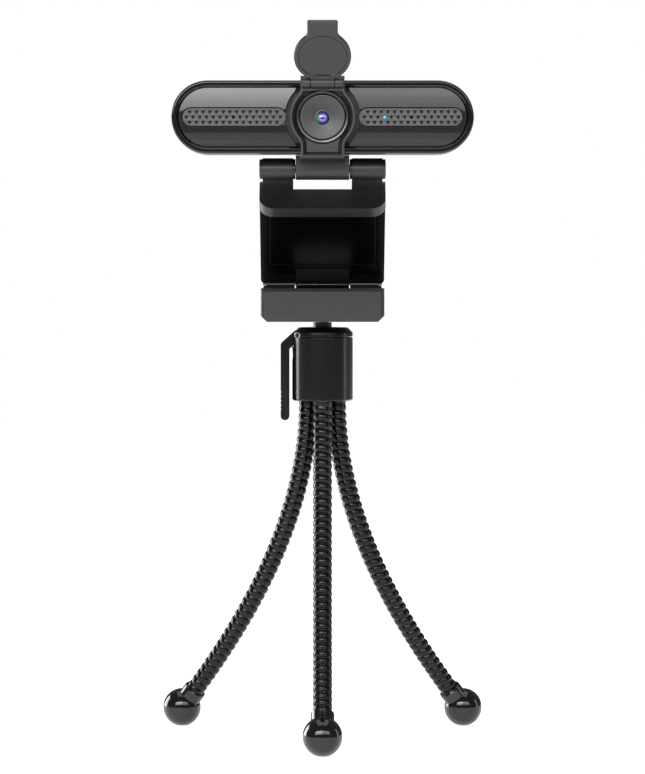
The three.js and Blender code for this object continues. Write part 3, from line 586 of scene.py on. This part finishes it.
def bezel():
    rounding = 0.8
    section = [(0, SPLIT), (0, FRONT + rounding)]
    for k in range(1, 9):
        a = math.radians(90 * k / 8)
        section.append((rounding * (1 - math.cos(a)), FRONT + rounding * (1 - math.sin(a))))
    section += [
        (1.75, FRONT), (1.85, FRONT + 0.04), (2.5, -13.55), (RIM, -13.4), (RIM, PANEL_BACK),
        (4, PANEL_BACK), (4, SPLIT),
    ]
    ring = loft("bezel", [ring_of(i, y) for i, y in section], closed=True)
    piece(ring, "bezel_ring", CAM, "webcam", GLOSS, "gloss_black", "front_bezel")


def crown(y, radius=105, half=12, steps=24):
    """A panel's cross-section in y and z: a flat back and a gently bulging front."""
    front = []
    for k in range(steps + 1):
        z = -half + 2 * half * k / steps
        front.append((y + z * z / (2 * radius), z))
    return front + [(PANEL_BACK, half), (PANEL_BACK, -half)]


def face_panels():
    inset = RIM + 0.12
    outer = stadium(WIDTH - 2 * inset, HEIGHT - 2 * inset, 40)
    for side, sign in (("left", -1), ("right", 1)):
        panel = slab("panel", [crown(-14.12)], -WIDTH / 2, WIDTH / 2, "x")
        keep = slab("keep", [outer], -20, 0)
        half = block(*span(sign, 0, 60), -30, 10, -20, 20)
        hole = slab("hole", [collar_outline(1.75, -20, 20)], -30, 10)
        window = stadium(GRILLE_SIZE[0] + 0.5, GRILLE_SIZE[1] + 0.5, 24, sign * GRILLE_X)
        window = slab("window", [window], -30, 10)
        panel = cut(both(panel, keep, half), hole, window)
        panel = softened(panel, 0.4, 3, 40)
        piece(panel, f"panel_{side}", CAM, "webcam", PANEL, "gloss_black",
              f"{side}_face_panel", smooth=40)

        holes = [
            disc(HOLE_RADIUS, sign * (first + HOLE_PITCH * k), z, 16)
            for z, count, first in HOLE_ROWS for k in range(count)
        ]
        strip = stadium(*GRILLE_SIZE, 24, sign * GRILLE_X)
        grille = slab("grille", [strip] + holes, -13.15, -12.35, bevel=0.13, steps=2)
        piece(grille, f"grille_{side}", CAM, "webcam", GRILLE, "grille_grey",
              f"{side}_mic_grille")

    dome = [(0.5, -9), (0.5, -12.95), (0.42, -13.08), (0.22, -13.18), (0.05, -13.2)]
    light_x = HOLE_ROWS[1][2] + LIGHT_HOLE * HOLE_PITCH
    light = moved(turned("light", dome, "y", 24), light_x)
    piece(light, "light_pipe", CAM, "webcam", BLUE, "light_blue", "status_light")


def lens_collar():
    front, face = -17.5, FRONT - 0.3
    shield = slab("shield", [collar_outline()], front, face, bevel=0.35)
    slope = [(-0.9, front - 0.1), (-1.15, front + 0.35), (-2.3, -15.3)]
    pocket = loft("pocket", [
        [(u, y, v) for u, v in collar_outline(grow)] for grow, y in slope
    ])
    plug = both(rod(11.5, face - 1, -12.4, "y", 96), block(-20, 20, -20, 0, -10.6, 10.6))
    collar = join(shield, plug)
    collar = cut(collar, pocket, rod(9.9, -30, 0, "y", 96))
    top, under = 14.9, HEIGHT / 2 + 0.3
    saddle = [
        (-16.3, 9.4), (-16.3, top - 0.9), (-15.4, top), (2.0, top), (2.8, top - 0.6),
        (2.8, under), (-14.55, under), (-14.55, 9.4),
    ]
    saddle = slab("saddle", [saddle], -8, 8, "x")
    lip = slab("lip", [[(-17, -14.9), (-13, -14.9), (-13, -13.6), (-17, -13.6)]], -8, 8, "x")
    collar = join(collar, saddle, lip)
    knuckle = arc(SHUTTER_AXIS["y"], SHUTTER_AXIS["z"], SHUTTER_KNUCKLE, 90, 270, 20)
    ear = knuckle + [(-15.6, 10.3), (-15.6, 14.1)]
    for sign in (-1, 1):
        collar = join(collar, slab("ear", [ear], *span(sign, 4.6, 7.3), "x"))
    collar = softened(cut(collar, bore(SHUTTER_BORE, 9, **SHUTTER_AXIS)), 0.16, 2, 40)
    piece(collar, "collar_shield", CAM, "webcam", SATIN, "satin_grey", "lens_collar",
          smooth=38)
    pin = turned("pin", [(0.45, -7.0), (0.62, -6.85), (0.62, 6.85), (0.45, 7.0)], "x", 32)
    piece(moved(pin, **SHUTTER_AXIS), "hinge_pin_top", CAM, "webcam", BLACK_STEEL,
          "black_steel", "shutter_pin")


def lens_train():
    ring = [
        (8.5, -12.4), (8.5, -15.1), (8.62, -15.3), (9.1, -15.42), (9.35, -15.42),
        (9.62, -15.15), (9.62, -12.4),
    ]
    piece(turned("ring", ring, "y", 128, ring=True), "trim_ring", CAM, "webcam", RING_AND_BEAD_HIGHLIGHT,
          "satin_grey", "lens_ring", smooth=25)

    # The cone steps inwards in shallow rings, each with a small chamfered edge.
    count, start, end = 9, (7.55, -13.75), (2.75, LENS_FRONT - 0.35)
    steps = []
    for k in range(count):
        r = start[0] + (end[0] - start[0]) * k / count
        next_r = start[0] + (end[0] - start[0]) * (k + 1) / count
        y = start[1] + (end[1] - start[1]) * k / count
        next_y = start[1] + (end[1] - start[1]) * (k + 1) / count
        steps += [(r, y + 0.08), (r - 0.06, next_y - 0.06), (next_r + 0.12, next_y)]
    outside = [(3.6, end[1] + 0.5), (8.1, -12.2), (8.1, -13.7), (8.0, -13.85), (7.65, -13.85)]
    cone = turned("cone", steps + outside, "y", 128, ring=True)
    piece(cone, "stepped_cone", CAM, "webcam", CONE, "gloss_black", "lens_baffle_cone",
          smooth=20)

    seat = turned("seat", [
        (2.42, LENS_FRONT + 0.3), (2.42, LENS_FRONT - 0.1), (2.5, LENS_FRONT - 0.2),
        (2.72, LENS_FRONT - 0.2), (4.1, LENS_FRONT + 0.35), (4.1, -1.3), (2.42, -1.3),
    ], "y", 96, ring=True)
    piece(seat, "barrel_sleeve", CAM, "webcam", CONE, "clip_black", "lens_barrel")
    curve, rim_angle, rim_cosine = 3.55, 42, 0.743
    dome = []
    for k in range(11):
        a = math.radians(rim_angle * (1 - k / 10))
        bulge = curve * (math.cos(a) - rim_cosine)
        dome.append((curve * math.sin(a) + 0.001, LENS_FRONT + 0.25 - bulge))
    lens = turned("lens", [(2.3, -6.6)] + dome, "y", 96)
    # The lens wears a painted violet reflection, a painted green highlight and a faint painted glow.
    lens_reflection = painted_lens_reflection(CAM @ Vector((0, LENS_FRONT * MM, 0)))
    piece(lens, "lens_element", CAM, "webcam", lens_reflection, "lens_glass", "front_lens")


def neck():
    top = CAM_LIFT - HEIGHT / 2 - 0.3
    profile = [
        (-4, 0), *arc(0, 0, 4, 180, 360, 40)[1:], (4, top), (-12.7, top), (-12.7, top - 1.5),
        (-5.4, top - 1.9), (-4, top - 3.2),
    ]
    body = slab("neck", [profile], -9.8, 9.8, "x")
    for sign in (-1, 1):
        body = cut(body, block(*span(sign, 8, 20), -20, -4.3, -5, 10))
    body = softened(cut(body, bore(AXLE_BORE, 20)), 0.3, 3, 45)
    piece(body, "neck_knuckle", NECK, "webcam", SATIN, "satin_grey", "neck_block", smooth=40)


def shutter():
    outer, inner = -1.1, 0.75
    radius, down = 10.3, -11.2
    tab_half, tab_end, corner = 5.5, -26, 0.7
    base_half, base_end = 5.8, -2.3
    tab = filleted_disc(radius, tab_half, 3, down, tab_end)
    tab = tab[:-1] + arc(tab_half - corner, tab_end + corner, corner, 0, -90, 4)
    base = filleted_disc(radius, base_half, 2.4, down, base_end)
    base = [(u, v) for u, v in base if v < base_end] + [(base_half, base_end)]
    right = tab[::-1] + base[1:]
    outline = right + [(-u, v) for u, v in reversed(right)]
    plate = slab("cover", [outline], outer, inner, bevel=0.42, steps=4)
    dish = turned("dish", [
        (9.0, inner + 0.4), (8.95, inner - 0.05), (8.6, inner - 0.45), (8.1, inner - 0.6),
    ], "y", 96)
    plate = cut(plate, moved(dish, 0, 0, down))
    profile = disc(SHUTTER_KNUCKLE, steps=40)
    knuckle = slab("knuckle", [profile], -4.3, 4.3, "x", bevel=0.2, steps=2)
    web = block(-4.3, 4.3, outer + 0.1, inner - 0.1, -3.2, 0)
    plate = cut(join(plate, web, knuckle), bore(SHUTTER_BORE, 9))
    piece(plate, "cover_flap", COVER, "shutter", SATIN, "satin_grey", "shutter_cover",
          smooth=38)


# ------------------------------------------------------------------ clip

FOLD_AXIS = {"y": 57, "z": -8}  # the clip's fold, in the plate's frame
EAR_RADIUS = 4


def tilt_barrel():
    for side, sign in (("left", -1), ("right", 1)):
        cap = turned("cap", [
            (3.62, sign * 21.9), (3.62, sign * 22.85), (3.3, sign * 23.15),
            (2.5, sign * 23.2), (2.4, sign * 23.05),
        ], "x", 64)
        piece(cap, f"barrel_cap_{side}", PLATE, "clip_plate", CLIP, "clip_black",
              f"{side}_tilt_cap")
        washer = turned("washer", [
            (1.8, sign * 9.95), (3.6, sign * 9.95), (3.7, sign * 10.05),
            (3.7, sign * 10.68), (3.6, sign * 10.78), (1.8, sign * 10.78),
        ], "x", 64, ring=True)
        piece(washer, f"spring_washer_{side}", PLATE, "clip_plate", BLACK_STEEL, "black_steel",
              f"{side}_friction_washer")


def clip_plate():
    half, top, bottom, front, back = 23.2, 4.0, -2.9, 8, 56
    deck = [
        (12.3, -12.6), (12.3, bottom), (back, bottom), (back, top - 1.2), (back - 1.2, top),
        *arc(front + 3.6, top - 3.6, 3.6, 90, 180, 12), (front, -12.6),
    ]
    plate = slab("deck", [deck], -half, half, "x")
    face = rounded(-half, half, -12.6, 20, 5.5, 14)
    plan = rounded(-half, half, -10, back, 2.2, 6)
    plate = both(plate, slab("face", [face], 0, 99), slab("plan", [plan], -30, 30, "z"))
    plate = cut(plate, block(-10.8, 10.8, 0, 15.5, -2.2, 30))
    tray = rounded(-20.2, 20.2, 17.5, 46, 2)
    plate = cut(plate, slab("tray", [tray], -9, -1.0, "z"))
    ear = [(9, 2.9), *arc(0, 0, EAR_RADIUS, 46, 314, 40), (9, -2.9)]
    pocket = rounded(4.9, 7.8, -1.6, 1.6, 0.6)
    for sign in (-1, 1):
        pocketed = cut(slab("ear", [ear], *span(sign, 10.8, 22), "x"),
                       slab("pocket", [pocket], *span(sign, 12.6, 40), "x"))
        plate = join(plate, pocketed)
    fold = FOLD_AXIS["y"], FOLD_AXIS["z"]
    heel = [(48, -1.2), (48, bottom), (52.6, -6.2), *arc(*fold, EAR_RADIUS, 158, 360, 32)]
    heel += [(61, -6), (57.5, bottom), (back - 0.5, -1.2)]
    plate = join(plate, slab("heel", [heel], -10, 10, "x"))
    # A thin bead along the crease; its faces get the lighter, glossier ring material as a painted highlight line.
    crease = Vector((52.8, -6.5))
    plate = join(plate, bore(0.35, 9.4, sides=24, y=crease[0], z=crease[1]))
    # A skirt behind the heel, round the leg's ears, hides the gap over the hinge.
    skirt = [(51, -1.2), (51, bottom - 0.1), *arc(*fold, 4.45, 130, 104, 8), (55.4, -1.2)]
    for sign in (-1, 1):
        plate = join(plate, slab("skirt", [skirt], *span(sign, 9, 22.4), "x"))
    bores = bore(AXLE_BORE, 40), bore(AXLE_BORE, 40, **FOLD_AXIS)
    plate = softened(cut(plate, *bores), 0.4, 3, 34)
    piece(plate, "clip_deck", PLATE, "clip_plate", CLIP, "clip_black", "clip_plate")

    # Faces inside the jaw, under the plate and round the heel, are painted near-black as painted shade.
    def painted_shade_in_jaw(point, normal):
        return point.y > 12.4 and point.z < -2 and normal.z < 0.3

    def painted_highlight_on_bead(point, _normal):
        return abs(point.x) < 9.5 and (point.yz - crease).length < 0.45

    paint_on_faces(plate, PAD_AND_PAINTED_SHADE, PLATE, painted_shade_in_jaw)
    paint_on_faces(plate, RING_AND_BEAD_HIGHLIGHT, PLATE, painted_highlight_on_bead)

    # The upper pad is real rubber, made near-black as painted shade along with the jaw's inside.
    pad = slab("pad", [rounded(-19.8, 19.8, 17.9, 45.6, 1.8)], -2.95, -1.3, "z", 0.25)
    piece(pad, "jaw_pad_upper", PLATE, "clip_plate", PAD_AND_PAINTED_SHADE, "rubber_black", "plate_pad")


def clip_leg():
    half, front, top, bottom = 22.6, -43.8, 2.8, -9.4
    side = [
        (front, bottom + 0.9), (front + 0.9, bottom), (-12, bottom), (-3.2, -2.4),
        (-3.2, 2.4), (-4.2, top), (front + 1.1, top), (front, top - 1.1),
    ]
    leg = slab("side", [side], -half, half, "x")
    cham = 2.3
    end = [
        (-half, bottom + cham), (-half + cham, bottom), (half - cham, bottom),
        (half, bottom + cham), (half, 9), (-half, 9),
    ]
    plan = rounded(-half, half, front, 30, 1.6, 8)
    leg = both(leg, slab("end", [end], -99, 99), slab("plan", [plan], -30, 30, "z"))
    tray = rounded(-20.45, 20.45, -41.75, -13.35, 3.1)
    leg = cut(leg, slab("tray", [tray], top - 1.5, 30, "z"))
    leg = cut(leg, block(-10.3, 10.3, -10.6, 9, -30, 30))
    leg = cut(leg, moved(rod(3.5, -30, 0, "z", 48), 0, -24))
    ear = [(-5, 2.8), *arc(0, 0, EAR_RADIUS, 135, -135, 36), (-5, -3.4)]
    for sign in (-1, 1):
        leg = join(leg, slab("ear", [ear], *span(sign, 10.4, 21.2), "x"))
        leg = cut(leg, block(*span(sign, 21.2, 40), -4.3, 30, -30, 30))
    leg = softened(cut(leg, bore(AXLE_BORE, 40)), 0.35, 3, 34)
    piece(leg, "clip_foot", LEG, "clip_leg", CLIP, "clip_black", "clip_leg")

    pad = slab("pad", [rounded(-20.3, 20.3, -41.6, -13.5, 3)], top - 1.4, top, "z", 0.3)
    piece(pad, "jaw_pad_lower", LEG, "clip_leg", PANEL, "gloss_black", "leg_pad")
    pin = rod(1.5, -20.9, 20.9, "x", 40)
    piece(pin, "fold_pin", LEG, "clip_leg", BLACK_STEEL, "black_steel", "leg_hinge_pin")
    for side, sign in (("left", -1), ("right", 1)):
        cap = turned("cap", [
            (3.7, sign * 21.1), (3.7, sign * 21.95), (3.4, sign * 22.25),
            (2.4, sign * 22.3), (2.3, sign * 22.15),
        ], "x", 64)
        piece(cap, f"fold_cap_{side}", LEG, "clip_leg", CLIP, "clip_black",
              f"{side}_hinge_cap")


# ------------------------------------------------------------------ tripod

LEVER_HALF, LEVER_BORE = 3, 1.05


def ball_head():
    low, seam, top = 124.2, 147.75, 151.3
    radius, socket, mouth = 11.2, 8.1, 6.4
    body = turned("body", [
        (socket, low), (radius - 0.7, low), (radius - 0.3, low + 0.15), (radius, low + 0.6),
        (radius, seam - 0.35), (radius - 0.15, seam - 0.1), (mouth, seam - 0.1),
        (mouth, BALL_Z + 4.9), (socket, BALL_Z),
    ], "z", 128, ring=True)
    cap = turned("cap", [
        (mouth, seam + 0.1), (radius - 0.2, seam + 0.1), (radius, seam + 0.35),
        (radius, top - 2.1), (radius - 0.15, top - 1.75), (9.4, top - 0.15), (9.0, top),
        (mouth + 0.6, top), (mouth + 0.15, top - 0.2), (mouth, top - 0.6),
    ], "z", 128, ring=True)
    pivot = (TRIPOD.inverted() @ LEVER).translation / MM

    def slotted(obj):
        wide = LEVER_HALF + 0.3
        slot = block(-30, pivot.x + 2.3, -wide, wide, pivot.z - 4, 200)
        hole = bore(LEVER_BORE, 20, "y", x=pivot.x, z=pivot.z)
        return softened(cut(obj, slot, hole), 0.2, 2, 40)

    shoe_hole = moved(rod(2.2, -30, -5, "x", 40), 0, 0, BALL_Z)
    body = slotted(cut(body, shoe_hole))
    piece(body, "head_barrel", TRIPOD, "tripod_head", HEAD_PLASTIC, "tripod_black",
          "head_body")
    piece(slotted(cap), "head_collar", TRIPOD, "tripod_head", HEAD_PLASTIC, "tripod_black",
          "head_cap")
    plug = [(7.4, low), (7.85, low + 0.3), (7.85, low + 3.6), (7, low + 3.8)]
    piece(turned("plug", plug, "z", 96), "head_plug", TRIPOD, "tripod_head", HEAD_PLASTIC,
          "tripod_black", "base_plug")
    pin = turned("pin", [(0.6, -5.6), (0.8, -5.4), (0.8, 5.4), (0.6, 5.6)], "y", 32)
    piece(pin, "lever_axle", LEVER, "tripod_head", BLACK_STEEL, "black_steel", "lever_pin")


def lever():
    inner, outer, low = -2.85, -6.05, -29.7
    tip = (inner - outer) / 2
    profile = [
        (inner, -5.0), (inner, low), *arc(inner - tip, low, tip, 0, -180, 12),
        (outer, -3.2), (outer + 0.35, -2.6), *arc(0, 0, 1.9, 128, -40, 16),
    ]
    body = slab("lever", [profile], -LEVER_HALF, LEVER_HALF, "y")
    body = cut(body, bore(LEVER_BORE, 20, "y"))
    grooves = [bore(0.35, 4, "y", 16, x=outer - 0.1, z=low + 2.4 + 1.6 * k) for k in range(5)]
    body = softened(cut(body, *grooves), 0.28, 3, 40)
    piece(body, "lock_lever_arm", LEVER, "lever", HEAD_PLASTIC, "tripod_black", "lock_lever")


def ball_and_screw():
    radius, shoulder = 7.8, 11.9
    points = [(2.1, 3.6), (2.1, shoulder - 0.1), (3.2, shoulder), (3.4, shoulder - 0.2),
              (3.4, 7.6)]
    for k in range(25):
        a = math.radians(63 - 115 * k / 24)
        points.append((radius * math.cos(a), radius * math.sin(a)))
    ball = turned("ball", points + [(2.1, -6.0)], "z", 96, ring=True)
    piece(ball, "swivel_ball", BALL, "clip_leg", BLACK_STEEL, "black_steel", "ball")
    pitch, turns, root, crest = 1.14, 6, 2.65, 3.1
    thread = [(1.8, 3.7), (1.8, shoulder + 0.3)]
    for k in range(turns):
        z = shoulder + 0.4 + pitch * k
        thread += [(root, z), (crest, z + 0.38), (crest, z + 0.53), (root, z + 0.95)]
    thread += [(2.5, 19.6)]
    piece(turned("screw", thread, "z", 64), "quarter_inch_screw", BALL, "clip_leg", STEEL,
          "steel", "camera_screw")


def bezier(points, t):
    a, b, c, d = points
    s = 1 - t
    return a * s ** 3 + b * 3 * s * s * t + c * 3 * s * t * t + d * t ** 3


# A leg's middle line, as a Bezier curve that runs outwards and down to the foot.
LEG_CURVE = [Vector(p) for p in ((6, 0, 124), (6, 0, 86.5), (26, 0, 49), (58, 0, 11))]
RIB_PITCH = 2.9
COIL_RADIUS = 3.55
RIB_DEPTH = 0.75
FOOT_RADIUS, FOOT_X, FOOT_Z = 7.2, 61.5, 6.9
LEG_TURNS = (("front", -90), ("right", 30), ("left", 150))


def coil():
    """A gooseneck's outside: one rounded wire wound along the curve."""
    samples = [bezier(LEG_CURVE, k / 400) for k in range(401)]
    runs = [0.0]
    for a, b in zip(samples, samples[1:]):
        runs.append(runs[-1] + (b - a).length)
    total = runs[-1]
    per_rib, around, run_out = 12, 28, 3
    side = Vector((0, 1, 0))
    rings = int(total / RIB_PITCH * per_rib)
    loops = []
    k = 0
    for i in range(rings + 1):
        s = total * i / rings
        while k < 399 and runs[k + 1] < s:
            k += 1
        f = (s - runs[k]) / (runs[k + 1] - runs[k])
        middle = samples[k].lerp(samples[k + 1], f)
        along = (samples[k + 1] - samples[k]).normalized()
        out = side.cross(along)
        fade = min(1, s / run_out, (total - s) / run_out + 0.001)
        loop = []
        for j, (c, d) in enumerate(circle(around)):
            phase = (s / RIB_PITCH + j / around) % 1
            wire = math.sqrt(max(0, 1 - (2 * phase - 1) ** 2))
            r = COIL_RADIUS - RIB_DEPTH * (1 - wire) * fade
            loop.append(tuple(middle + out * (c * r) + side * (d * r)))
        loops.append(loop)
    return loft("coil", loops)


def tripod_leg(side, degrees):
    place = TRIPOD @ Matrix.Rotation(math.radians(degrees), 4, "Z")
    body = f"leg_{side}"
    neck_coil = piece(coil(), f"coil_{side}", place, None, COIL, "tripod_black",
                      f"gooseneck_{side}", smooth=60)
    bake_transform(neck_coil)

    profile = [(2.06, 0.0)]
    low = math.degrees(math.asin(-FOOT_Z / FOOT_RADIUS))
    for k in range(1, 33):
        a = math.radians(low + (90 - low) * k / 32)
        radius = max(FOOT_RADIUS * math.cos(a), 0.01)
        profile.append((radius, FOOT_Z + FOOT_RADIUS * math.sin(a)))
    foot = moved(turned("foot", profile, "z", 96), FOOT_X)
    tip = LEG_CURVE[3]
    back = (LEG_CURVE[2] - tip).normalized()
    turn = back.to_track_quat("Z", "Y").to_matrix().to_4x4()
    cuff = turned("cuff", [
        (4.3, -2), (4.35, 3.0), (4.3, 3.9), (4.0, 4.25), (3.6, 4.3),
    ], "z", 64)
    hole = rod(3.62, -0.5, 9, "z", 64)
    for tool in (cuff, hole):
        tool.data.transform(Matrix.Translation(tip) @ turn)
    foot = softened(cut(join(foot, cuff), hole), 0.25, 3, 30)
    piece(foot, f"ball_foot_{side}", place, body, GLOSS, "gloss_black", f"foot_{side}")


# ------------------------------------------------------------------ camera, light, floor

def aimed(obj, place, target):
    obj.location = place
    obj.rotation_euler = (Vector(target) - Vector(place)).to_track_quat("-Z", "Y").to_euler()
    SCENE.collection.objects.link(obj)
    return obj


def softbox(name, place, target, width, height, power):
    light = bpy.data.lights.new(name, "AREA")
    light.shape = "RECTANGLE"
    light.size, light.size_y = width, height
    light.energy = power
    return aimed(bpy.data.objects.new(name, light), place, target)


def graded(light, low, high):
    """Makes an area light dim at its lower edge and bright at its upper edge."""
    light.use_nodes = True
    nodes, links = light.node_tree.nodes, light.node_tree.links
    shape = nodes.new("ShaderNodeNewGeometry")
    split = nodes.new("ShaderNodeSeparateXYZ")
    links.new(shape.outputs["Parametric"], split.inputs["Vector"])
    grade = nodes.new("ShaderNodeMapRange")
    grade.inputs["To Min"].default_value = low
    grade.inputs["To Max"].default_value = high
    links.new(split.outputs["Y"], grade.inputs["Value"])
    links.new(grade.outputs["Result"], nodes["Emission"].inputs["Strength"])


VIEW_Y, VIEW_Z, AIM_Z = -1.4, 0.172, 0.1292
VIEW_LENS = 176


def camera():
    """Looks at the front from a little above the middle, and aims at the tripod's axis."""
    axis_y = JOINTS["ball_pan"]["pos_m"][1]
    data = bpy.data.cameras.new("camera")
    data.lens = VIEW_LENS
    data.sensor_width = 36
    data.clip_end = 50
    view = bpy.data.objects.new("camera", data)
    SCENE.camera = aimed(view, (0, axis_y + VIEW_Y, VIEW_Z), (0, axis_y, AIM_Z))


def lights():
    """Two graded boxes in front, a brighter and a dimmer one, and three fills around."""
    height = CAM.translation.z + 0.29
    for name, x, power in (("front_left", -0.42, 10), ("front_right", 0.42, 4.5)):
        box = softbox(name, (x, -0.9, height), (x, 0, height), 0.84, 0.42, power)
        graded(box.data, 0.45, 1.9)
    softbox("left_strip", (-0.75, 0.42, 0.16), (0, 0, 0.14), 0.4, 0.7, 10)
    softbox("right_strip", (0.9, 0.1, 0.2), (0, 0, 0.16), 0.15, 0.6, 1)
    softbox("overhead", (0, 0.1, 1.1), (0, 0, 0.15), 0.9, 0.9, 4.5)


def sky():
    """White where the camera sees it, and a dim white light on everything else."""
    world = bpy.data.worlds.new("studio")
    world.use_nodes = True
    SCENE.world = world
    nodes, links = world.node_tree.nodes, world.node_tree.links
    lit = nodes["Background"]
    lit.inputs["Color"].default_value = (1, 1, 1, 1)
    lit.inputs["Strength"].default_value = 0.22
    seen = nodes.new("ShaderNodeBackground")
    seen.inputs["Strength"].default_value = 1.0
    seen.inputs["Color"].default_value = (1, 1, 1, 1)
    path = nodes.new("ShaderNodeLightPath")
    mix = nodes.new("ShaderNodeMixShader")
    links.new(path.outputs["Is Camera Ray"], mix.inputs["Fac"])
    links.new(lit.outputs["Background"], mix.inputs[1])
    links.new(seen.outputs["Background"], mix.inputs[2])
    links.new(mix.outputs["Shader"], nodes["World Output"].inputs["Surface"])


def floor():
    bm = bmesh.new()
    bmesh.ops.create_circle(bm, cap_ends=True, segments=96, radius=3)
    mesh = bpy.data.meshes.new("floor")
    bm.to_mesh(mesh)
    bm.free()
    pale = bpy.data.materials.new("pale_floor")
    pale.use_nodes = True
    shader = pale.node_tree.nodes["Principled BSDF"]
    shader.inputs["Base Color"].default_value = (0.9, 0.9, 0.9, 1)
    shader.inputs["Roughness"].default_value = 0.6
    shader.inputs["Emission Color"].default_value = (1, 1, 1, 1)
    shader.inputs["Emission Strength"].default_value = 0.84
    mesh.materials.append(pale)
    scratch("floor", mesh)


def main():
    SCENE.view_settings.view_transform = "Standard"
    camera()
    lights()
    sky()
    floor()
    dress_cad_nodes()
    for make in (rear_shell, bezel, face_panels, lens_collar, lens_train, neck, shutter,
                 tilt_barrel, clip_plate, clip_leg, ball_head, lever, ball_and_screw):
        make()
    for side, degrees in LEG_TURNS:
        tripod_leg(side, degrees)


main()
